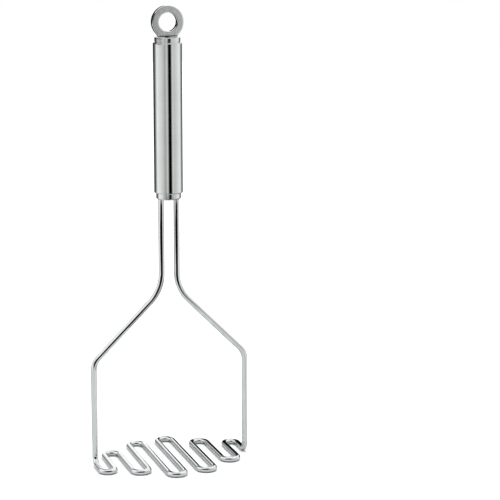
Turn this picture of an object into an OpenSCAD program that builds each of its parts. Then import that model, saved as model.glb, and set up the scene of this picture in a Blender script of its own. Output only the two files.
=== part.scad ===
// Wire potato masher: one bent wire makes the mashing grid, both legs and the neck,
// and a hollow round handle closed by two turned caps carries a swivelling hanging ring.
// Millimetres. +Z runs up the handle, +X along the row of rods, and -Y is the front.
// The origin is on the handle axis, on the surface that the grid stands on.

/* [Wire] */
// Diameter of the bent wire
wire_d = 3.8; // [2.5:0.1:4.5]
// Length of wire that stands up inside the handle, above the lower cap
wire_tail = 14; // [6:1:30]

/* [Grid] */
// Spacing of the nine full rods, centre to centre
rod_pitch = 10.8; // [9:0.1:16]
// Spacing from the last full rod to the leg, centre to centre
end_pitch = 9.4; // [8:0.1:14]
// How far each front bend's centre line stands out from the frame, left to right
bend_reach = [21.4, 28.8, 40.2, 35.6, 18.4]; // [14:0.1:60]
// Radius of the turn from a leg into the grid
foot_turn_r = 5.5; // [4:0.5:8]

/* [Frame] */
// Height of the knees, where the legs lean in
knee_z = 71; // [40:0.5:110]
// Rise from the knees to the shoulders
slant_rise = 47.1; // [36:0.1:80]
// Straight neck from the shoulders to the lower cap
neck_len = 61; // [30:0.1:110]
// Spacing of the two wires in the neck, centre to centre
neck_gap = 10.5; // [8:0.1:10.8]
// Bend radius at the knees
knee_r = 12; // [6:1:18]
// Bend radius at the shoulders
shoulder_r = 26; // [10:1:32]

/* [Handle] */
// Outside diameter of the handle tube
handle_d = 19; // [19:0.5:26]
// Length of the handle tube
handle_len = 98.9; // [60:0.2:140]
// Wall of the handle tube
handle_wall = 0.9; // [0.6:0.1:1.1]
// Rounding of the tube's outer ends
handle_end_r = 0.7; // [0.2:0.1:1.2]

/* [Caps] */
// Length of the lower cap that shows
lower_show = 4.3; // [2:0.1:8]
// How much smaller the lower cap is than the tube's bore, on the radius
lower_step = 0.4; // [0.1:0.05:0.5]
// Rounding of the lower cap's edge
lower_edge_r = 1.2; // [0.3:0.1:1.4]
// Length of the upper cap that shows
upper_show = 3.5; // [2:0.1:8]
// How much smaller the upper cap is than the tube's bore, on the radius
upper_step = 0.1; // [0.1:0.05:1]
// Depth of the groove under the upper cap's rim
groove_depth = 0.25; // [0.1:0.05:0.6]
// Width of that groove where it shows
groove_w = 0.8; // [0.4:0.1:1.5]
// Rounding of the upper cap's edge
upper_edge_r = 0.5; // [0.2:0.1:1.2]
// Length of each cap's seat in the tube
cap_seat = 6; // [4:0.5:12]
// How far the seats' shoulders sit inside the tube's ends
seat_inset = 0.6; // [0.2:0.1:1.5]
// Thickness of the upper cap over the pin's pocket
upper_floor = 3.4; // [2:0.1:6]
// Gap between the wire and its hole in the lower cap
wire_hole_gap = 0.05; // [0.02:0.01:0.2]
// Leg of the weld fillet round each wire, inside the handle
weld_leg = 1; // [0.6:0.1:1.3]

/* [Hanging ring] */
// Outside diameter of the ring
ring_od = 21.3; // [16:0.1:30]
// Width of the ring's rim
ring_rim = 4.5; // [3.5:0.1:6]
// Thickness of the ring
ring_t = 4.2; // [3.4:0.1:6]
// Rounding of the ring's edges
ring_edge_r = 0.8; // [0.5:0.1:1.6]
// How much the ring's underside is cut flat for its foot
foot_cut = 1.1; // [0.6:0.1:2]
// How far the foot stands out past the flat, at each side
foot_flare = 1.6; // [0.3:0.1:2]
// How much thinner the foot is than the ring
foot_thin = 1; // [0.4:0.1:1.4]
// Gap between the foot and the upper cap
ring_gap = 0.3; // [0.3:0.1:2]
// Diameter of the swivel pin
pin_d = 3; // [2:0.1:3.2]
// Running clearance round the pin, on the radius
pin_clearance = 0.06; // [0.02:0.01:0.1]
// How far the pin is pressed up into the foot
pin_hold = 1.9; // [1:0.1:2]
// Diameter of the pin's head
pin_head_d = 6.2; // [4.5:0.1:8]
// Thickness of the pin's head
pin_head_t = 1.3; // [0.8:0.1:2]
// Outside diameter of the washer over the head
washer_d = 8; // [6:0.1:10]
// Thickness of the washer
washer_t = 0.6; // [0.4:0.1:1]
// End play between the washer and the cap
washer_play = 0.1; // [0.05:0.05:0.3]
// Gap round the washer in the cap's pocket
pocket_gap = 0.4; // [0.2:0.1:1]

/* [Hidden] */
$fn = 64;

wire_r = wire_d / 2;
full_side = 4;                                // full rods each side of the middle one
leg_side = full_side + 1;                     // number of the rods that turn up into the legs
leg_x = full_side * rod_pitch + end_pitch;
neck_x = neck_gap / 2;
shoulder_z = knee_z + slant_rise;
lean = atan2(leg_x - neck_x, slant_rise);     // of the slanted wires, from upright
knee_run = knee_r * tan(lean / 2);            // from a knee's corner to where its bend ends
shoulder_run = shoulder_r * tan(lean / 2);
sleeve_len = 0.3;
sleeve_proud = 0.01;

handle_r = handle_d / 2;
tube_bore_r = handle_r - handle_wall;
tube_land = 0.15;                             // flat left on each end of the tube
tube_end_r = min(handle_end_r, handle_wall - tube_land);
lower_cap_z = shoulder_z + neck_len;
tube_z = lower_cap_z + lower_show;
tube_top_z = tube_z + handle_len;
upper_cap_z = tube_top_z + upper_show;
lower_r = tube_bore_r - lower_step;
upper_r = tube_bore_r - upper_step;
lower_inner_z = tube_z + seat_inset + cap_seat;
upper_inner_z = tube_top_z - seat_inset - cap_seat;
pocket_z = upper_cap_z - upper_floor;
wire_end_z = lower_inner_z + wire_tail;

ring_r = ring_od / 2;
ring_bore_r = ring_r - ring_rim;
foot_drop = ring_r - foot_cut;
foot_half = sqrt(ring_r * ring_r - foot_drop * foot_drop) + foot_flare;
foot_z = upper_cap_z + ring_gap;
ring_z = foot_z + foot_drop;
foot_t = ring_t - foot_thin;
foot_blend_r = ring_r - 0.4;                  // where the foot's sides run onto the rim
pin_r = pin_d / 2;
washer_z = pocket_z - washer_play - washer_t;

// Rod i stands at rod_x(i), from the left leg's at -leg_side to the right leg's at leg_side.
function rod_x(i) = abs(i) <= full_side ? i * rod_pitch : sign(i) * leg_x;

// Each front bend joins a rod to the one on its right, starting at the left leg's rod.
// The back bends are the front ones turned half round the handle axis.
function front_bend(i) = floor((i + leg_side) / 2);
function bend_left(k) = 2 * k - leg_side;
function bend_r(k) = (rod_x(bend_left(k) + 1) - rod_x(bend_left(k))) / 2;
function front_end(i) = bend_r(front_bend(i)) - bend_reach[front_bend(i)];
function back_end(i) = -front_end(-i);

// A straight length of wire between two points.
module wire_run(from, to) {
  run = to - from;
  translate(from) rotate([0, acos(run[2] / norm(run)), atan2(run[1], run[0])])
    cylinder(h = norm(run), r = wire_r);
}

// A bend of the wire round the local Z axis, starting at the angle given.
module wire_bend(r, start, sweep) {
  rotate([0, 0, start]) rotate_extrude(angle = sweep) translate([r, 0]) circle(r = wire_r);
}

// A short sleeve, a hair proud of the wire, that closes the joint of a run and a frame bend.
module joint_sleeve(at, tilt) {
  translate(at) rotate([0, tilt, 0]) cylinder(h = sleeve_len, r = wire_r + sleeve_proud, center = true);
}

// The left leg from the grid up to the wire's end inside the handle.
module leg_and_neck() {
  along = [sin(lean), 0, cos(lean)];
  knee = [-leg_x, 0, knee_z];
  shoulder = [-neck_x, 0, shoulder_z];
  foot_top = wire_r + foot_turn_r;
  wire_run([-leg_x, front_end(-leg_side), wire_r], [-leg_x, -foot_turn_r, wire_r]);
  translate([-leg_x, -foot_turn_r, foot_top]) rotate([90, 0, 90]) wire_bend(foot_turn_r, -90, 90);
  wire_run([-leg_x, 0, foot_top], knee - [0, 0, knee_run]);
  translate(knee + [knee_r, 0, -knee_run]) rotate([90, 0, 0]) wire_bend(knee_r, 180 - lean, lean);
  wire_run(knee + knee_run * along, shoulder - shoulder_run * along);
  translate(shoulder + [-shoulder_r, 0, shoulder_run])
    rotate([90, 0, 0]) wire_bend(shoulder_r, -lean, lean);
  wire_run(shoulder + [0, 0, shoulder_run], [-neck_x, 0, wire_end_z]);
  for (at = [knee - [0, 0, knee_run], shoulder + [0, 0, shoulder_run]]) joint_sleeve(at, 0);
  for (at = [knee + knee_run * along, shoulder - shoulder_run * along]) joint_sleeve(at, lean);
}

module masher_wire() {
  color("gainsboro") union() {
    for (i = [-full_side : full_side])
      wire_run([rod_x(i), front_end(i), wire_r], [rod_x(i), back_end(i), wire_r]);
    for (turn = [0, 180]) rotate([0, 0, turn]) {
      for (k = [0 : len(bend_reach) - 1])
        translate([rod_x(bend_left(k)) + bend_r(k), front_end(bend_left(k)), wire_r])
          wire_bend(bend_r(k), 180, 180);
      leg_and_neck();
    }
  }
}

// A section rectangle, from the axis out to r and from z0 to z1, with its outer corners
// rounded by r0 below and r1 above.
module turned(r, z0, z1, r0, r1) {
  difference() {
    translate([0, z0]) square([r, z1 - z0]);
    if (r0 > 0) translate([r - r0, z0 + r0]) mirror([0, 1]) outer_corner(r0);
    if (r1 > 0) translate([r - r1, z1 - r1]) outer_corner(r1);
  }
}

// What a rounding of radius r takes off a corner, drawn from the rounding's centre.
module outer_corner(r) {
  difference() {
    square(2 * r);
    circle(r = r);
  }
}

module handle_tube() {
  color("silver") rotate_extrude() difference() {
    turned(handle_r, tube_z, tube_top_z, tube_end_r, tube_end_r);
    translate([0, tube_z - 1]) square([tube_bore_r, handle_len + 2]);
  }
}

module upper_cap() {
  groove_z = tube_top_z + groove_w;
  seat_z = tube_top_z - seat_inset;
  color("gainsboro") rotate_extrude() difference() {
    union() {
      turned(upper_r, groove_z, upper_cap_z, 0, upper_edge_r);
      translate([0, seat_z]) square([upper_r - groove_depth, groove_z - seat_z]);
      translate([0, upper_inner_z]) square([tube_bore_r, cap_seat]);
    }
    translate([0, pocket_z - 1]) square([pin_r + pin_clearance, upper_floor + 2]);
    translate([0, upper_inner_z - 1])
      square([washer_d / 2 + pocket_gap, pocket_z - upper_inner_z + 1]);
  }
}

module lower_cap() {
  color("gainsboro") difference() {
    rotate_extrude() union() {
      turned(lower_r, lower_cap_z, tube_z + seat_inset, lower_edge_r, 0);
      translate([0, tube_z + seat_inset]) square([tube_bore_r, cap_seat]);
    }
    for (side = [-1, 1]) translate([side * neck_x, 0, lower_cap_z - 1])
      cylinder(h = lower_inner_z - lower_cap_z + 2, r = wire_r + wire_hole_gap);
  }
}

// The fillet weld round one neck wire, on the lower cap's inner face.
module weld(side) {
  color("dimgray") translate([side * neck_x, 0, lower_inner_z]) rotate_extrude()
    polygon([[wire_r, 0], [wire_r + weld_leg, 0], [wire_r, weld_leg]]);
}

// The ring stands upright: its bore runs along Y.
module hanging_ring() {
  onto = atan2(foot_half, foot_drop) + acos(foot_blend_r / norm([foot_half, foot_drop]));
  blend = foot_blend_r * [sin(onto), -cos(onto)];
  color("gainsboro") translate([0, 0, ring_z]) difference() {
    union() {
      rotate([90, 0, 0]) rotate_extrude() difference() {
        union() for (y = [0, 1]) mirror([0, y]) turned(ring_r, 0, ring_t / 2, 0, ring_edge_r);
        for (y = [0, 1]) mirror([0, y]) bore_section();
      }
      rotate([90, 0, 0]) linear_extrude(height = foot_t, center = true) difference() {
        polygon([[-blend[0], blend[1]], [-foot_half, -foot_drop], [foot_half, -foot_drop], blend]);
        circle(r = ring_bore_r + ring_edge_r);
      }
    }
    translate([-ring_r, -ring_t, -ring_r - 1]) cube([ring_od, 2 * ring_t, ring_r + 1 - foot_drop]);
    translate([0, 0, -foot_drop - 1]) cylinder(h = pin_hold + 1, r = pin_r);
  }
}

// The bore's half of the ring section: its edge is rounded outwards.
module bore_section() {
  straight = ring_t / 2 - ring_edge_r;
  square([ring_bore_r, ring_t]);
  translate([0, straight]) difference() {
    square([ring_bore_r + ring_edge_r, ring_t]);
    translate([ring_bore_r + ring_edge_r, 0]) circle(r = ring_edge_r);
  }
}

module swivel_pin() {
  color("darkgray") {
    translate([0, 0, washer_z - pin_head_t]) cylinder(h = pin_head_t, d = pin_head_d);
    translate([0, 0, washer_z]) cylinder(h = foot_z + pin_hold - washer_z, r = pin_r);
  }
}

module pin_washer() {
  color("darkgray") translate([0, 0, washer_z]) difference() {
    cylinder(h = washer_t, d = washer_d);
    translate([0, 0, -1]) cylinder(h = washer_t + 2, r = pin_r + pin_clearance);
  }
}

handle_tube();
upper_cap();
lower_cap();
masher_wire();
weld(-1);  // weld_left
weld(1);  // weld_right
hanging_ring();
swivel_pin();
pin_washer();
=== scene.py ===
import math

import bmesh
import bpy
from mathutils import Matrix, Vector


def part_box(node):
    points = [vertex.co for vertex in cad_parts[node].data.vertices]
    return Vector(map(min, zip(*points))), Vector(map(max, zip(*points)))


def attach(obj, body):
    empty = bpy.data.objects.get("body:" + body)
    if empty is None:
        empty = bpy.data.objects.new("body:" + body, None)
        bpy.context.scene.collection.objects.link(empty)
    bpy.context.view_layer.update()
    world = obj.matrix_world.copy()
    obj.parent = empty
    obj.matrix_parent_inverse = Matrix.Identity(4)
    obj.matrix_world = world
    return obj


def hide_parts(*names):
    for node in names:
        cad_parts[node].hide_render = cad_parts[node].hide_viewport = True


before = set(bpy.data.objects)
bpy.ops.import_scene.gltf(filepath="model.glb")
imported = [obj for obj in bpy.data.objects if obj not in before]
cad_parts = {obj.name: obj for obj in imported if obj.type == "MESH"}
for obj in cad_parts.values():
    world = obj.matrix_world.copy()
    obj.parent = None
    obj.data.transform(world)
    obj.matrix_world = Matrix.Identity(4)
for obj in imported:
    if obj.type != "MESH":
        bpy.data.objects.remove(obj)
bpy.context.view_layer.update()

MM = 0.001                       # sizes are given in millimetres and made metres with this

# The bent wire
WIRE_R = 1.9 * MM
ROD_PITCH = 10.8 * MM
END_PITCH = 9.4 * MM
BEND_REACH = [21.4 * MM, 28.8 * MM, 40.2 * MM, 35.6 * MM, 18.4 * MM]
FULL_SIDE = 4                    # full rods each side of the middle one
LEG_SIDE = FULL_SIDE + 1
LEG_X = FULL_SIDE * ROD_PITCH + END_PITCH
FOOT_TURN_R = 5.5 * MM
KNEE_Z = 71 * MM
KNEE_R = 12 * MM
SHOULDER_Z = 118.1 * MM
SHOULDER_R = 26 * MM
NECK_X = 5.25 * MM
WIRE_END_EDGE = 0.3 * MM
WELD_LEG = 1.0 * MM
WELD_CROWN = 0.62                # how far out and up the crown stands, as a part of the leg
WELD_CROWN_R = 0.3 * MM

# The handle and its caps
HANDLE_R = 9.5 * MM
HANDLE_END_R = 0.7 * MM
BORE_R = 8.6 * MM
LOWER_CAP_R = 8.2 * MM
LOWER_EDGE_R = 1.2 * MM
WIRE_HOLE_CLEARANCE = 0.05 * MM
UPPER_CAP_R = 8.5 * MM
UPPER_EDGE_R = 0.5 * MM
UPPER_FLOOR = 3.4 * MM
GROOVE_DEPTH = 0.25 * MM
GROOVE_W = 0.8 * MM
SEAT_INSET = 0.6 * MM
POCKET_R = 4.4 * MM
BROKEN_EDGE_R = 0.15 * MM        # a sharp turned edge, just taken off

# The hanging ring and its pin
RING_R = 10.65 * MM
RING_RIM = 4.5 * MM
RING_T = 4.2 * MM
RING_EDGE_R = 0.5 * MM
FOOT_CUT = 1.1 * MM
FOOT_FLARE = 1.6 * MM
FOOT_T = 3.2 * MM
FOOT_SINK = 0.4 * MM             # how deep the foot's sides run into the rim
FOOT_SPARE = 0.6 * MM            # faced off once ring and foot are one
MELT_GRAIN = 0.16 * MM           # grain of the casting when ring and foot are melted together
PIN_R = 1.5 * MM
PIN_CLEARANCE = 0.06 * MM
PIN_HEAD_R = 3.1 * MM
PIN_HEAD_T = 1.3 * MM
PIN_HOLD = 1.9 * MM
WASHER_R = 4.0 * MM
WASHER_T = 0.6 * MM

TURNED_STEPS = 128               # facets round the turned pieces
SMALL_STEPS = 64                 # facets round the pin and the washer
WIRE_SIDES = 32                  # facets round the wire
TOUCHING = 0.002 * MM            # points closer than this are one point


# ---- Levels, read from the frame ----

tube_low, tube_high = (corner[2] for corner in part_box("handle_tube"))
upper_cap_low, upper_cap_high = (corner[2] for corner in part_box("upper_cap"))
lower_cap_low, lower_cap_high = (corner[2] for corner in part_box("lower_cap"))
wire_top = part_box("masher_wire")[1][2]
washer_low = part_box("pin_washer")[0][2]
foot_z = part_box("hanging_ring")[0][2]
ring_z = foot_z + RING_R - FOOT_CUT


# ---- Modelling by hand ----

def start_piece():
    """Nothing else may be selected when a new primitive is added."""
    bpy.ops.object.select_all(action="DESELECT")


def select_points(chosen):
    """In edit mode, selects the points whose place chosen() says yes to, and what they join."""
    mesh = bmesh.from_edit_mesh(bpy.context.object.data)
    for point in mesh.verts:
        point.select = bool(chosen(point.co))
    mesh.select_flush_mode()
    bmesh.update_edit_mesh(bpy.context.object.data)


def clean_mesh():
    """In edit mode, joins points that touch and turns every face outwards."""
    bpy.ops.mesh.select_all(action="SELECT")
    bpy.ops.mesh.remove_doubles(threshold=TOUCHING)
    bpy.ops.mesh.normals_make_consistent(inside=False)


def leave_edit():
    clean_mesh()
    bpy.ops.object.mode_set(mode="OBJECT")
    bpy.ops.object.transform_apply(location=True, rotation=True, scale=True)
    return bpy.context.object


def finish_piece(piece, name, node, body, slot, smooth_angle=35):
    """Names a piece and puts it on its body, in place of its CAD node."""
    bpy.ops.object.shade_smooth_by_angle(angle=math.radians(smooth_angle))
    even_shading = piece.modifiers.new("even_shading", "WEIGHTED_NORMAL")
    even_shading.keep_sharp = True
    bpy.ops.object.modifier_apply(modifier=even_shading.name)
    piece.name = name
    piece.data.name = name
    piece.data.materials.clear()
    piece.data.materials.append(MATERIALS[slot])
    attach(piece, body)
    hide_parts(node)
    return piece


def draw_outline(points):
    """Draws a line through points (radius, height), by extruding one point after another."""
    start_piece()
    bpy.ops.mesh.primitive_plane_add(size=MM)
    bpy.ops.object.mode_set(mode="EDIT")
    bpy.ops.mesh.merge(type="CENTER")
    bpy.ops.transform.translate(value=(points[0][0], 0, points[0][1]))
    for here, there in zip(points, points[1:]):
        step = (there[0] - here[0], 0, there[1] - here[1])
        bpy.ops.mesh.extrude_region_move(TRANSFORM_OT_translate={"value": step})


def round_corner(corner, radius, segments=6):
    """Rounds the corner of the drawn outline at (radius, height)."""
    place = Vector((corner[0], 0, corner[1]))
    select_points(lambda point: (point - place).length < TOUCHING)
    bpy.ops.mesh.bevel(offset=radius, segments=segments, affect="VERTICES")


def turn_on_lathe(first, last, steps=TURNED_STEPS):
    """Closes the outline from its last point to its first and turns it once round the Z axis."""
    ends = [Vector((first[0], 0, first[1])), Vector((last[0], 0, last[1]))]
    if first[0] > 0 or last[0] > 0:
        select_points(lambda point: any((point - end).length < TOUCHING for end in ends))
        bpy.ops.mesh.edge_face_add()
    bpy.ops.mesh.select_all(action="SELECT")
    bpy.ops.mesh.spin(steps=steps, angle=math.tau, center=(0, 0, 0), axis=(0, 0, 1))


def turned_piece(points, roundings, steps=TURNED_STEPS):
    """A piece turned from its outline. roundings are (corner, radius, segments)."""
    draw_outline(points)
    for corner, radius, segments in roundings:
        round_corner(corner, radius, segments)
    turn_on_lathe(points[0], points[-1], steps)
    return leave_edit()


def cut_away(piece, cutter):
    """Takes the cutter's shape out of a piece."""
    bpy.ops.object.select_all(action="DESELECT")
    piece.select_set(True)
    bpy.context.view_layer.objects.active = piece
    hole = piece.modifiers.new("hole", "BOOLEAN")
    hole.operation = "DIFFERENCE"
    hole.solver = "EXACT"
    hole.object = cutter
    bpy.ops.object.modifier_apply(modifier=hole.name)
    bpy.data.objects.remove(cutter, do_unlink=True)


def drill(x, radius, low, high):
    """A plain cylinder along Z, used up by cut_away."""
    start_piece()
    middle = (x, 0, (low + high) / 2)
    bpy.ops.mesh.primitive_cylinder_add(
        vertices=64, radius=radius, depth=high - low, location=middle)
    bpy.ops.object.transform_apply(location=True, rotation=True, scale=True)
    return bpy.context.object


# ---- The bent wire ----

def rod_x(i):
    """Where rod i stands, from the left leg's at -LEG_SIDE to the right leg's at LEG_SIDE."""
    if abs(i) <= FULL_SIDE:
        return i * ROD_PITCH
    return math.copysign(LEG_X, i)


def front_bend(i):
    return (i + LEG_SIDE) // 2


def front_bend_r(i):
    left = 2 * front_bend(i) - LEG_SIDE
    return (rod_x(left + 1) - rod_x(left)) / 2


def front_end(i):
    """Where rod i's straight part ends, towards the front."""
    return front_bend_r(i) - BEND_REACH[front_bend(i)]


def back_end(i):
    return -front_end(-i)


def run_wire(step):
    """Carries the wire's open end straight on."""
    bpy.ops.mesh.extrude_region_move(TRANSFORM_OT_translate={"value": step})


def bend_wire(centre, axis, angle, steps):
    """Carries the wire's open end round a bend. angle follows the right hand about the axis."""
    bpy.ops.mesh.spin(steps=steps, angle=-angle, center=centre, axis=axis)


def form_leg_and_neck():
    """From the wire's end inside the handle, down the left neck and leg, to the grid."""
    lean = math.atan2(LEG_X - NECK_X, SHOULDER_Z - KNEE_Z)
    shoulder_run = SHOULDER_R * math.tan(lean / 2)
    knee_run = KNEE_R * math.tan(lean / 2)
    foot_top = WIRE_R + FOOT_TURN_R
    slant = math.hypot(LEG_X - NECK_X, SHOULDER_Z - KNEE_Z) - shoulder_run - knee_run
    shoulder_top = SHOULDER_Z + shoulder_run
    knee_low = KNEE_Z - knee_run
    run_wire((0, 0, shoulder_top - wire_top))
    bend_wire((-NECK_X - SHOULDER_R, 0, shoulder_top), (0, 1, 0), lean, 16)
    run_wire((-slant * math.sin(lean), 0, -slant * math.cos(lean)))
    bend_wire((-LEG_X + KNEE_R, 0, knee_low), (0, 1, 0), -lean, 16)
    run_wire((0, 0, foot_top - knee_low))
    bend_wire((-LEG_X, -FOOT_TURN_R, foot_top), (1, 0, 0), -math.pi / 2, 16)


def form_left_grid():
    """From the left leg's foot, in and out along the rods, to the middle of the middle rod."""
    run_wire((0, front_end(-LEG_SIDE) + FOOT_TURN_R, 0))
    for i in range(-LEG_SIDE, 0):
        towards_back = (i + LEG_SIDE) % 2 == 1
        radius = (rod_x(i + 1) - rod_x(i)) / 2
        end = back_end(i) if towards_back else front_end(i)
        turn = -math.pi if towards_back else math.pi
        bend_wire((rod_x(i) + radius, end, WIRE_R), (0, 0, 1), turn, 24)
        if i + 1 < 0:
            next_end = front_end(i + 1) if towards_back else back_end(i + 1)
            run_wire((0, next_end - end, 0))
        else:
            run_wire((0, -end, 0))


def make_wire():
    """Half of the wire is formed from its end, and turned half round the axis for the rest."""
    start_piece()
    bpy.ops.mesh.primitive_circle_add(
        vertices=WIRE_SIDES, radius=WIRE_R, location=(-NECK_X, 0, wire_top))
    bpy.ops.object.transform_apply(location=True, rotation=True, scale=True)
    bpy.ops.object.mode_set(mode="EDIT")
    form_leg_and_neck()
    form_left_grid()
    select_points(lambda point: point.z > wire_top - TOUCHING)
    bpy.ops.mesh.edge_face_add()
    bpy.ops.mesh.bevel(offset=WIRE_END_EDGE, segments=2, affect="EDGES")
    bpy.ops.mesh.select_all(action="SELECT")
    bpy.ops.mesh.duplicate()
    bpy.ops.transform.rotate(value=math.pi, orient_axis="Z", center_override=(0, 0, 0))
    return finish_piece(leave_edit(), "masher_wire_bent", "masher_wire", "masher", "wire_steel")


def make_weld(side, name, node):
    """A bead of weld in the corner between a neck wire and the lower cap."""
    foot = (WIRE_R + WELD_LEG, lower_cap_high)
    crown = (WIRE_R + WELD_CROWN * WELD_LEG, lower_cap_high + WELD_CROWN * WELD_LEG)
    top = (WIRE_R, lower_cap_high + WELD_LEG)
    draw_outline([(WIRE_R, lower_cap_high), foot, crown, top])
    round_corner(crown, WELD_CROWN_R, 4)
    turn_on_lathe((WIRE_R, lower_cap_high), top, 48)
    bpy.ops.mesh.select_all(action="SELECT")
    bpy.ops.transform.translate(value=(side * NECK_X, 0, 0))
    return finish_piece(leave_edit(), name, node, "masher", "weld_steel")


# ---- Handle and caps ----

def make_handle_tube():
    low_edge = (HANDLE_R, tube_low)
    high_edge = (HANDLE_R, tube_high)
    outline = [(BORE_R, tube_low), low_edge, high_edge, (BORE_R, tube_high)]
    tube = turned_piece(outline, [(low_edge, HANDLE_END_R, 8), (high_edge, HANDLE_END_R, 8)])
    return finish_piece(tube, "handle_tube_satin", "handle_tube", "masher", "handle_steel")


def make_upper_cap():
    seat = tube_high - SEAT_INSET
    groove_r = UPPER_CAP_R - GROOVE_DEPTH
    groove_top = tube_high + GROOVE_W
    hole_r = PIN_R + PIN_CLEARANCE
    pocket = upper_cap_high - UPPER_FLOOR
    under_rim = (UPPER_CAP_R, groove_top)
    rim = (UPPER_CAP_R, upper_cap_high)
    hole_edge = (hole_r, upper_cap_high)
    outline = [
        (POCKET_R, upper_cap_low), (BORE_R, upper_cap_low), (BORE_R, seat), (groove_r, seat),
        (groove_r, groove_top), under_rim, rim, hole_edge, (hole_r, pocket), (POCKET_R, pocket)]
    cap = turned_piece(
        outline,
        [(rim, UPPER_EDGE_R, 8), (under_rim, 0.12 * MM, 3), (hole_edge, BROKEN_EDGE_R, 3)])
    return finish_piece(cap, "upper_cap_turned", "upper_cap", "masher", "cap_steel")


def make_lower_cap():
    seat = tube_low + SEAT_INSET
    edge = (LOWER_CAP_R, lower_cap_low)
    inner_edge = (BORE_R, lower_cap_high)
    outline = [
        (0, lower_cap_low), edge, (LOWER_CAP_R, seat), (BORE_R, seat), inner_edge,
        (0, lower_cap_high)]
    cap = turned_piece(outline, [(edge, LOWER_EDGE_R, 10), (inner_edge, 0.2 * MM, 2)])
    hole_r = WIRE_R + WIRE_HOLE_CLEARANCE
    for side in (-1, 1):
        cut_away(cap, drill(side * NECK_X, hole_r, lower_cap_low - MM, lower_cap_high + MM))
    return finish_piece(cap, "lower_cap_turned", "lower_cap", "masher", "cap_steel")


# ---- Hanging ring, pin and washer ----

def spin_ring_bar():
    """A bar with rounded edges, spun into the ring about an axis along Y."""
    start_piece()
    middle = (RING_R - RING_RIM / 2, 0, ring_z)
    bpy.ops.mesh.primitive_plane_add(size=1, location=middle)
    bpy.ops.object.mode_set(mode="EDIT")
    bpy.ops.transform.resize(value=(RING_RIM, RING_T, 1))
    bpy.ops.mesh.bevel(offset=RING_EDGE_R, segments=8, affect="VERTICES")
    bpy.ops.mesh.delete(type="ONLY_FACE")
    bpy.ops.mesh.select_all(action="SELECT")
    bpy.ops.mesh.spin(steps=96, angle=math.tau, center=(0, 0, ring_z), axis=(0, 1, 0))
    return leave_edit()


def block_out_foot():
    """A block under the ring. Its sides slope out to run onto the rim, and the bore is cleared."""
    foot_drop = RING_R - FOOT_CUT
    foot_half = math.sqrt(RING_R ** 2 - foot_drop ** 2) + FOOT_FLARE
    meets_rim = RING_R - FOOT_SINK
    slope = math.atan2(foot_half, foot_drop)
    slope += math.acos(meets_rim / math.hypot(foot_half, foot_drop))
    top_half = meets_rim * math.sin(slope)
    top = ring_z - meets_rim * math.cos(slope)
    spare_half = foot_half - FOOT_SPARE * (top_half - foot_half) / (top - foot_z)
    start_piece()
    bpy.ops.mesh.primitive_cube_add(size=1, location=(0, 0, (top + foot_z - FOOT_SPARE) / 2))
    bpy.ops.object.mode_set(mode="EDIT")
    bpy.ops.transform.resize(value=(2 * spare_half, FOOT_T, top - foot_z + FOOT_SPARE))
    select_points(lambda point: point.z > 0)
    bpy.ops.transform.resize(value=(top_half / spare_half, 1, 1))
    foot = leave_edit()
    start_piece()
    bpy.ops.mesh.primitive_cylinder_add(
        vertices=96, radius=RING_R - RING_RIM + RING_EDGE_R, depth=2 * RING_T,
        location=(0, 0, ring_z), rotation=(math.pi / 2, 0, 0))
    bpy.ops.object.transform_apply(location=True, rotation=True, scale=True)
    cut_away(foot, bpy.context.object)
    return foot


def facing_block():
    """A block whose top is level with the foot's underside, used up by cut_away."""
    start_piece()
    bpy.ops.mesh.primitive_cube_add(size=1, location=(0, 0, foot_z - 5 * MM))
    bpy.ops.transform.resize(value=(30 * MM, 30 * MM, 10 * MM))
    bpy.ops.object.transform_apply(location=True, rotation=True, scale=True)
    return bpy.context.object


def make_hanging_ring():
    """Ring and foot are melted into one casting, smoothed, faced off flat and drilled."""
    ring = spin_ring_bar()
    foot = block_out_foot()
    bpy.ops.object.select_all(action="DESELECT")
    foot.select_set(True)
    ring.select_set(True)
    bpy.context.view_layer.objects.active = ring
    bpy.ops.object.join()
    melt = ring.modifiers.new("melt", "REMESH")
    melt.mode = "VOXEL"
    melt.voxel_size = MELT_GRAIN
    bpy.ops.object.modifier_apply(modifier=melt.name)
    soften = ring.modifiers.new("soften", "SMOOTH")
    soften.factor = 0.5
    soften.iterations = 3
    bpy.ops.object.modifier_apply(modifier=soften.name)
    cut_away(ring, facing_block())
    cut_away(ring, drill(0, PIN_R, foot_z - MM, foot_z + PIN_HOLD))
    return finish_piece(ring, "hanging_ring_cast", "hanging_ring", "hanger", "ring_steel", 50)


def make_swivel_pin():
    head_low = washer_low - PIN_HEAD_T
    head_edge = (PIN_HEAD_R, head_low)
    head_top_edge = (PIN_HEAD_R, washer_low)
    tip_z = foot_z + PIN_HOLD
    tip = (PIN_R, tip_z)
    outline = [
        (0, head_low), head_edge, head_top_edge, (PIN_R, washer_low), tip, (0, tip_z)]
    roundings = [(head_edge, 0.3 * MM, 4), (head_top_edge, BROKEN_EDGE_R, 2), (tip, 0.25 * MM, 2)]
    pin = turned_piece(outline, roundings, SMALL_STEPS)
    return finish_piece(pin, "swivel_pin_headed", "swivel_pin", "hanger", "pin_steel")


def make_pin_washer():
    high = washer_low + WASHER_T
    hole_r = PIN_R + PIN_CLEARANCE
    low_edge = (WASHER_R, washer_low)
    high_edge = (WASHER_R, high)
    outline = [(hole_r, washer_low), low_edge, high_edge, (hole_r, high)]
    roundings = [(low_edge, BROKEN_EDGE_R, 3), (high_edge, BROKEN_EDGE_R, 3)]
    washer = turned_piece(outline, roundings, SMALL_STEPS)
    return finish_piece(washer, "pin_washer_stamped", "pin_washer", "hanger", "pin_steel")


# ---- Materials ----

IN_MM = (1000, 1000, 1000)       # stretches Object coordinates from metres to millimetres


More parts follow.
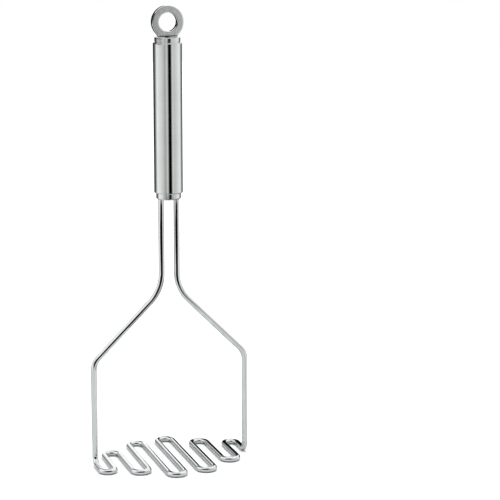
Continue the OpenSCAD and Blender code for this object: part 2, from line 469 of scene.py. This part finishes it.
class Nodes:
    """A few short ways to add nodes to one node tree and join them up."""

    def __init__(self, tree):
        self.tree = tree
        self.tree.nodes.clear()

    def add(self, kind, **settings):
        node = self.tree.nodes.new(kind)
        for name, value in settings.items():
            setattr(node, name, value)
        return node

    def join(self, out_socket, in_socket):
        self.tree.links.new(out_socket, in_socket)

    def noise(self, where, scale, detail=3.0, roughness=0.5):
        node = self.add("ShaderNodeTexNoise")
        node.inputs["Scale"].default_value = scale
        node.inputs["Detail"].default_value = detail
        node.inputs["Roughness"].default_value = roughness
        self.join(where, node.inputs["Vector"])
        return node.outputs["Fac"]

    def spread(self, value, low, high, to_low, to_high):
        """Maps a value from low..high onto to_low..to_high, held at the ends."""
        node = self.add("ShaderNodeMapRange")
        for name, number in zip(("From Min", "From Max", "To Min", "To Max"),
                                (low, high, to_low, to_high)):
            node.inputs[name].default_value = number
        self.join(value, node.inputs["Value"])
        return node.outputs["Result"]

    def maths(self, operation, *values):
        node = self.add("ShaderNodeMath", operation=operation)
        for socket, value in zip(node.inputs, values):
            if isinstance(value, (int, float)):
                socket.default_value = value
            else:
                self.join(value, socket)
        return node.outputs["Value"]

    def blend(self, amount, first, second):
        """A colour between two, each given as RGB or as a socket."""
        node = self.add("ShaderNodeMix", data_type="RGBA")
        self.join(amount, node.inputs["Factor"])
        for socket, colour in ((node.inputs[6], first), (node.inputs[7], second)):
            if isinstance(colour, tuple):
                socket.default_value = (*colour, 1)
            else:
                self.join(colour, socket)
        return node.outputs[2]

    def mottled(self, noise, dull, bright):
        """A colour that wanders between two as the noise does."""
        return self.blend(self.spread(noise, 0.3, 0.7, 0, 1), dull, bright)

    def stretched(self, stretch):
        """Object coordinates, stretched."""
        place = self.add("ShaderNodeTexCoord")
        mapping = self.add("ShaderNodeMapping")
        mapping.inputs["Scale"].default_value = stretch
        self.join(place.outputs["Object"], mapping.inputs["Vector"])
        return mapping.outputs["Vector"]

    def split(self, vector):
        node = self.add("ShaderNodeSeparateXYZ")
        self.join(vector, node.inputs["Vector"])
        return node.outputs

    def bump(self, height, strength, distance):
        node = self.add("ShaderNodeBump")
        node.inputs["Strength"].default_value = strength
        node.inputs["Distance"].default_value = distance
        self.join(height, node.inputs["Height"])
        return node.outputs["Normal"]


def steel(name):
    """A metal surface to dress. Returns its nodes and its shader."""
    material = bpy.data.materials.new(name)
    material.use_nodes = True
    nodes = Nodes(material.node_tree)
    out = nodes.add("ShaderNodeOutputMaterial")
    shader = nodes.add("ShaderNodeBsdfPrincipled")
    shader.inputs["Metallic"].default_value = 1.0
    nodes.join(shader.outputs["BSDF"], out.inputs["Surface"])
    return material, nodes, shader


def satin_handle_steel():
    """Stainless tube, brushed round and then buffed, with a few scuffs."""
    material, nodes, shader = steel("handle_steel")
    lines = nodes.noise(nodes.stretched((60, 60, 9000)), 1.0, 2.0)
    patches = nodes.noise(nodes.stretched((70, 70, 45)), 1.0, 3.0)
    colour = nodes.mottled(patches, (0.70, 0.73, 0.71), (0.80, 0.83, 0.81))
    colour = nodes.blend(nodes.spread(lines, 0.3, 0.75, 0, 0.35), colour, (0.62, 0.65, 0.63))
    nodes.join(colour, shader.inputs["Base Color"])
    rough = nodes.maths(
        "ADD", nodes.spread(lines, 0.3, 0.7, 0.06, 0.10), nodes.spread(patches, 0.3, 0.7, 0, 0.03))
    nodes.join(rough, shader.inputs["Roughness"])
    nodes.join(nodes.bump(lines, 0.04, 0.01 * MM), shader.inputs["Normal"])
    return material


def turned_cap_steel():
    """Stainless caps with fine rings left by the turning tool."""
    material, nodes, shader = steel("cap_steel")
    x, y, z = nodes.split(nodes.stretched(IN_MM))
    radius = nodes.maths("SQRT", nodes.maths("ADD", nodes.maths("MULTIPLY", x, x),
                                             nodes.maths("MULTIPLY", y, y)))
    rings = nodes.maths("SINE", nodes.maths("MULTIPLY", nodes.maths("ADD", radius, z), 40))
    patches = nodes.noise(nodes.stretched((220, 220, 220)), 1.0)
    colour = nodes.mottled(patches, (0.72, 0.74, 0.73), (0.82, 0.84, 0.83))
    nodes.join(colour, shader.inputs["Base Color"])
    nodes.join(nodes.spread(patches, 0.3, 0.7, 0.12, 0.2), shader.inputs["Roughness"])
    nodes.join(nodes.bump(rings, 0.12, 0.01 * MM), shader.inputs["Normal"])
    return material


def polished_wire_steel():
    """Bright drawn wire: faint die lines along it, and darker, rougher patches within 0.6 mm of the
    table.
    """
    material, nodes, shader = steel("wire_steel")
    z = nodes.split(nodes.stretched(IN_MM))["Z"]
    along_grid = nodes.noise(nodes.stretched((3000, 60, 3000)), 1.0, 2.0)
    along_leg = nodes.noise(nodes.stretched((3000, 3000, 60)), 1.0, 2.0)
    upright = nodes.spread(z, 5, 9, 0, 1)
    mix = nodes.add("ShaderNodeMix", data_type="FLOAT")
    nodes.join(upright, mix.inputs["Factor"])
    nodes.join(along_grid, mix.inputs[2])
    nodes.join(along_leg, mix.inputs[3])
    lines = mix.outputs[0]
    patches = nodes.noise(nodes.stretched((90, 90, 90)), 1.0)
    scuffs = nodes.noise(nodes.stretched((900, 900, 900)), 1.0, 4.0, 0.7)
    # The wire's lowest 0.6 mm is made darker and rougher, in patches.
    under = nodes.spread(z, 0.0, 0.6, 1, 0)
    rough_dark_underside = nodes.maths("MULTIPLY", under, nodes.spread(scuffs, 0.4, 0.6, 0.2, 1))
    colour = nodes.mottled(patches, (0.80, 0.82, 0.82), (0.88, 0.90, 0.90))
    nodes.join(nodes.blend(rough_dark_underside, colour, (0.55, 0.56, 0.56)), shader.inputs["Base Color"])
    rough = nodes.maths("ADD", nodes.spread(lines, 0.3, 0.7, 0.04, 0.09),
                        nodes.maths("MULTIPLY", rough_dark_underside, 0.3))
    nodes.join(rough, shader.inputs["Roughness"])
    nodes.join(nodes.bump(lines, 0.05, 0.01 * MM), shader.inputs["Normal"])
    return material


def heat_tinted_weld_steel():
    """Weld bead: rippled, dull, and straw to blue with heat."""
    material, nodes, shader = steel("weld_steel")
    ripple = nodes.noise(nodes.stretched((2500, 2500, 2500)), 1.0, 2.0)
    tint = nodes.noise(nodes.stretched((500, 500, 900)), 1.0, 1.0)
    colour = nodes.blend(nodes.spread(tint, 0.35, 0.65, 0, 1), (0.42, 0.35, 0.25), (0.24, 0.26, 0.36))
    nodes.join(colour, shader.inputs["Base Color"])
    nodes.join(nodes.spread(ripple, 0.3, 0.7, 0.35, 0.55), shader.inputs["Roughness"])
    nodes.join(nodes.bump(ripple, 0.5, 0.1 * MM), shader.inputs["Normal"])
    return material


def polished_ring_steel():
    """A small casting, polished by hand: its face is a little uneven, and the bottom of its foot is
    painted near black, a painted shadow of the gap over the cap.
    """
    material, nodes, shader = steel("ring_steel")
    waves = nodes.noise(nodes.stretched((420, 420, 420)), 1.0, 1.5)
    pits = nodes.noise(nodes.stretched((2600, 2600, 2600)), 1.0, 3.0, 0.6)
    colour = nodes.mottled(waves, (0.80, 0.83, 0.82), (0.92, 0.94, 0.93))
    colour = nodes.blend(nodes.spread(pits, 0.62, 0.75, 0, 0.5), colour, (0.45, 0.46, 0.46))
    z = nodes.split(nodes.stretched(IN_MM))["Z"]
    foot_level = foot_z / MM
    # Painted shade: the foot's lowest 0.6 mm is painted near black, fading out by 1.0 mm, in place of
    # the shadow in the gap between foot and cap.
    painted_gap_shade = nodes.spread(z, foot_level + 0.6, foot_level + 1.0, 1, 0)
    nodes.join(nodes.blend(painted_gap_shade, colour, (0.02, 0.025, 0.025)), shader.inputs["Base Color"])
    nodes.join(nodes.spread(pits, 0.3, 0.75, 0.05, 0.12), shader.inputs["Roughness"])
    nodes.join(nodes.bump(waves, 0.15, 0.1 * MM), shader.inputs["Normal"])
    return material


def plain_pin_steel():
    """Pin and washer: plain turned steel with fine rings."""
    material, nodes, shader = steel("pin_steel")
    rings = nodes.noise(nodes.stretched((300, 300, 12000)), 1.0, 1.0)
    colour = nodes.mottled(rings, (0.50, 0.51, 0.52), (0.64, 0.65, 0.66))
    nodes.join(colour, shader.inputs["Base Color"])
    nodes.join(nodes.spread(rings, 0.3, 0.7, 0.2, 0.34), shader.inputs["Roughness"])
    nodes.join(nodes.bump(rings, 0.2, 0.02 * MM), shader.inputs["Normal"])
    return material


def matt_sheet(name, colour):
    """Plain matt paper."""
    material = bpy.data.materials.new(name)
    material.use_nodes = True
    nodes = Nodes(material.node_tree)
    out = nodes.add("ShaderNodeOutputMaterial")
    shader = nodes.add("ShaderNodeBsdfPrincipled")
    shader.inputs["Roughness"].default_value = 0.9
    shader.inputs["Specular IOR Level"].default_value = 0.0
    shader.inputs["Base Color"].default_value = (*colour, 1)
    nodes.join(shader.outputs["BSDF"], out.inputs["Surface"])
    return material


# ---- Studio ----

# Brightness of the white tent round the object by compass direction, at three heights. 0 is the
# front, -Y, and 90 is +X. The dark stretch at the front is the gap that the camera looks through.
TENT_BELOW = [
    (-180, 0.42), (-165, 0.55), (-60, 0.65), (10, 0.60), (60, 0.40), (110, 0.35), (150, 0.40),
    (163, 0.28), (180, 0.42)]
TENT_MIDDLE = [
    (-180, 0.05), (-148, 0.06), (-137, 0.20), (-126, 0.50), (-117, 0.92), (-110, 1.10),
    (-98, 1.00), (-75, 0.87), (-65, 0.80), (-53, 0.68), (-38, 0.47), (-31, 0.52), (-24, 0.76),
    (-17, 0.66), (-11, 0.14), (-8, 0.0), (9, 0.0), (12, 0.08), (15, 0.42), (20, 0.72),
    (25, 0.80), (33, 0.66), (45, 0.72), (68, 0.88), (88, 1.02), (95, 1.00), (103, 0.70),
    (112, 0.30), (125, 0.16), (148, 0.08), (180, 0.05)]
TENT_ABOVE = [
    (-180, 1.10), (-171, 1.00), (-165, 0.36), (-150, 0.30), (-133, 0.62), (-118, 1.10),
    (-80, 0.80), (-60, 0.40), (-45, 0.10), (-15, 0.0), (15, 0.02), (32, 0.20), (45, 0.40),
    (68, 0.50), (90, 0.90), (120, 0.70), (150, 1.10), (180, 1.10)]
TENT_PEAK = 1.2
BELOW_TO_MIDDLE = (-19, -15)    # degrees above the horizon over which one height turns to the next
MIDDLE_TO_ABOVE = (1, 5)
ABOVE_TO_ROOF = (18, 36)


def compass_ramp(nodes, compass, brightness):
    """Brightness by compass direction, from a list of (degrees, brightness)."""
    node = nodes.add("ShaderNodeValToRGB")
    stops = node.color_ramp.elements
    stops.remove(stops[1])
    for number, (degrees, value) in enumerate(brightness):
        stop = stops[0] if number == 0 else stops.new((degrees + 180) / 360)
        stop.position = (degrees + 180) / 360
        stop.color = (value / TENT_PEAK, value / TENT_PEAK, value / TENT_PEAK, 1)
    nodes.join(compass, node.inputs["Fac"])
    return node.outputs["Color"]


def make_tent():
    """White tent light by direction. The camera sees plain white behind the object."""
    world = bpy.data.worlds.new("tent")
    bpy.context.scene.world = world
    world.use_nodes = True
    nodes = Nodes(world.node_tree)
    out = nodes.add("ShaderNodeOutputWorld")
    direction = nodes.add("ShaderNodeTexCoord")
    x, y, z = nodes.split(direction.outputs["Generated"])
    angle = nodes.maths("ARCTAN2", x, nodes.maths("MULTIPLY", y, -1))
    compass = nodes.spread(angle, -math.pi, math.pi, 0, 1)
    light = compass_ramp(nodes, compass, TENT_BELOW)
    roof = (1 / TENT_PEAK, 1 / TENT_PEAK, 1 / TENT_PEAK)
    for heights, upper in ((BELOW_TO_MIDDLE, compass_ramp(nodes, compass, TENT_MIDDLE)),
                           (MIDDLE_TO_ABOVE, compass_ramp(nodes, compass, TENT_ABOVE)),
                           (ABOVE_TO_ROOF, roof)):
        low, high = (math.sin(math.radians(height)) for height in heights)
        light = nodes.blend(nodes.spread(z, low, high, 0, 1), light, upper)
    tent = nodes.add("ShaderNodeBackground")
    tent.inputs["Strength"].default_value = TENT_PEAK
    nodes.join(light, tent.inputs["Color"])
    plain = nodes.add("ShaderNodeBackground")
    plain.inputs["Color"].default_value = (1, 1, 1, 1)
    seen = nodes.add("ShaderNodeLightPath")
    choose = nodes.add("ShaderNodeMixShader")
    nodes.join(seen.outputs["Is Camera Ray"], choose.inputs["Fac"])
    nodes.join(tent.outputs["Background"], choose.inputs[1])
    nodes.join(plain.outputs["Background"], choose.inputs[2])
    nodes.join(choose.outputs["Shader"], out.inputs["Surface"])


def hang_sheet(name, colour, low, high):
    """A flat matt sheet between two opposite corners, which isn't part of the object."""
    low, high = Vector(low), Vector(high)
    upright = high.z - low.z > MM
    faces_side = high.x - low.x < MM
    turn = (0, math.pi / 2, 0) if faces_side else (math.pi / 2, 0, 0)
    start_piece()
    bpy.ops.mesh.primitive_plane_add(
        size=1, location=(low + high) / 2, rotation=turn if upright else (0, 0, 0))
    bpy.ops.object.transform_apply(location=False, rotation=True, scale=False)
    bpy.ops.object.mode_set(mode="EDIT")
    bpy.ops.transform.resize(value=[max(side, MM) for side in high - low])
    bpy.ops.object.mode_set(mode="OBJECT")
    bpy.ops.object.transform_apply(location=True, rotation=True, scale=True)
    sheet = bpy.context.object
    sheet.name = name
    sheet.data.materials.append(matt_sheet(name, colour))
    return sheet


def only_mirrored(sheet):
    """The steel reflects this sheet, and nothing else in the studio knows of it."""
    sheet.visible_camera = False
    sheet.visible_diffuse = False
    sheet.visible_shadow = False


BLACK = (0.005, 0.005, 0.005)
BLACK_FLAGS = [
    # name, lowest corner, highest corner
    ("slant_flag", (-0.14, -0.12, 0.045), (0.03, -0.12, 0.095)),
    ("neck_flag", (-0.115, -0.12, 0.095), (0.08, -0.12, 0.156)),
    ("wing_flag", (-0.28, -0.12, 0.095), (-0.115, -0.12, 0.135)),
    ("ring_flag", (-0.15, -0.08, 0.272), (-0.15, 0.30, 0.42)),
    ("back_flag", (-0.15, 0.30, 0.17), (0.066, 0.30, 0.50)),
    ("rod_flag", (0.02, 0.10, 0.0), (0.35, 0.10, 0.06)),
]


def make_floor_and_flags():
    """A wide white floor, a darker copy of the table top that only the steel mirrors (painted shade
    in the table's reflection), and black flags.
    """
    floor = hang_sheet("floor", (0.90, 0.90, 0.91), (-3, -3, 0), (3, 3, 0))
    floor.visible_glossy = False
    table_z = 0.05 * MM
    # Painted shade: the table top that the steel mirrors is a darker copy of the white floor, so it
    # reflects grey.
    only_mirrored(hang_sheet(
        "mirrored_table_painted_shade", (0.46, 0.475, 0.48), (-0.5, -0.45, table_z), (0.065, 0.05, table_z)))
    for name, low, high in BLACK_FLAGS:
        only_mirrored(hang_sheet(name, BLACK, low, high))


def make_overhead_light():
    """One broad, soft light, straight above."""
    light = bpy.data.lights.new("overhead", "SUN")
    light.angle = math.radians(70)
    light.energy = 1.8
    lamp = bpy.data.objects.new("overhead", light)
    lamp.visible_glossy = False
    bpy.context.collection.objects.link(lamp)


def make_camera():
    """Low and a little to the left of the front."""
    azimuth = math.radians(-15.2)
    elevation = math.radians(10.67)
    distance = 1.2
    target = Vector((0, 0, 0.15))
    back = Vector((math.sin(azimuth) * math.cos(elevation),
                   -math.cos(azimuth) * math.cos(elevation), math.sin(elevation)))
    right = Vector((0, 0, 1)).cross(back).normalized()
    up = back.cross(right)
    turn = Matrix((right, up, back)).transposed() @ Matrix.Rotation(math.radians(-0.47), 3, "Z")
    lens = bpy.data.cameras.new("camera")
    lens.sensor_width = 36
    lens.lens = 130
    lens.shift_x = 0.162
    lens.shift_y = -0.0158
    camera = bpy.data.objects.new("camera", lens)
    camera.matrix_world = Matrix.Translation(target + distance * back) @ turn.to_4x4()
    bpy.context.collection.objects.link(camera)
    bpy.context.scene.camera = camera


MATERIALS = {
    "handle_steel": satin_handle_steel(),
    "cap_steel": turned_cap_steel(),
    "wire_steel": polished_wire_steel(),
    "weld_steel": heat_tinted_weld_steel(),
    "ring_steel": polished_ring_steel(),
    "pin_steel": plain_pin_steel(),
}

make_wire()
make_weld(-1, "weld_left_bead", "weld_left")
make_weld(1, "weld_right_bead", "weld_right")
make_handle_tube()
make_upper_cap()
make_lower_cap()
make_hanging_ring()
make_swivel_pin()
make_pin_washer()

make_floor_and_flags()
make_tent()
make_overhead_light()
make_camera()
bpy.context.scene.view_settings.view_transform = "Standard"
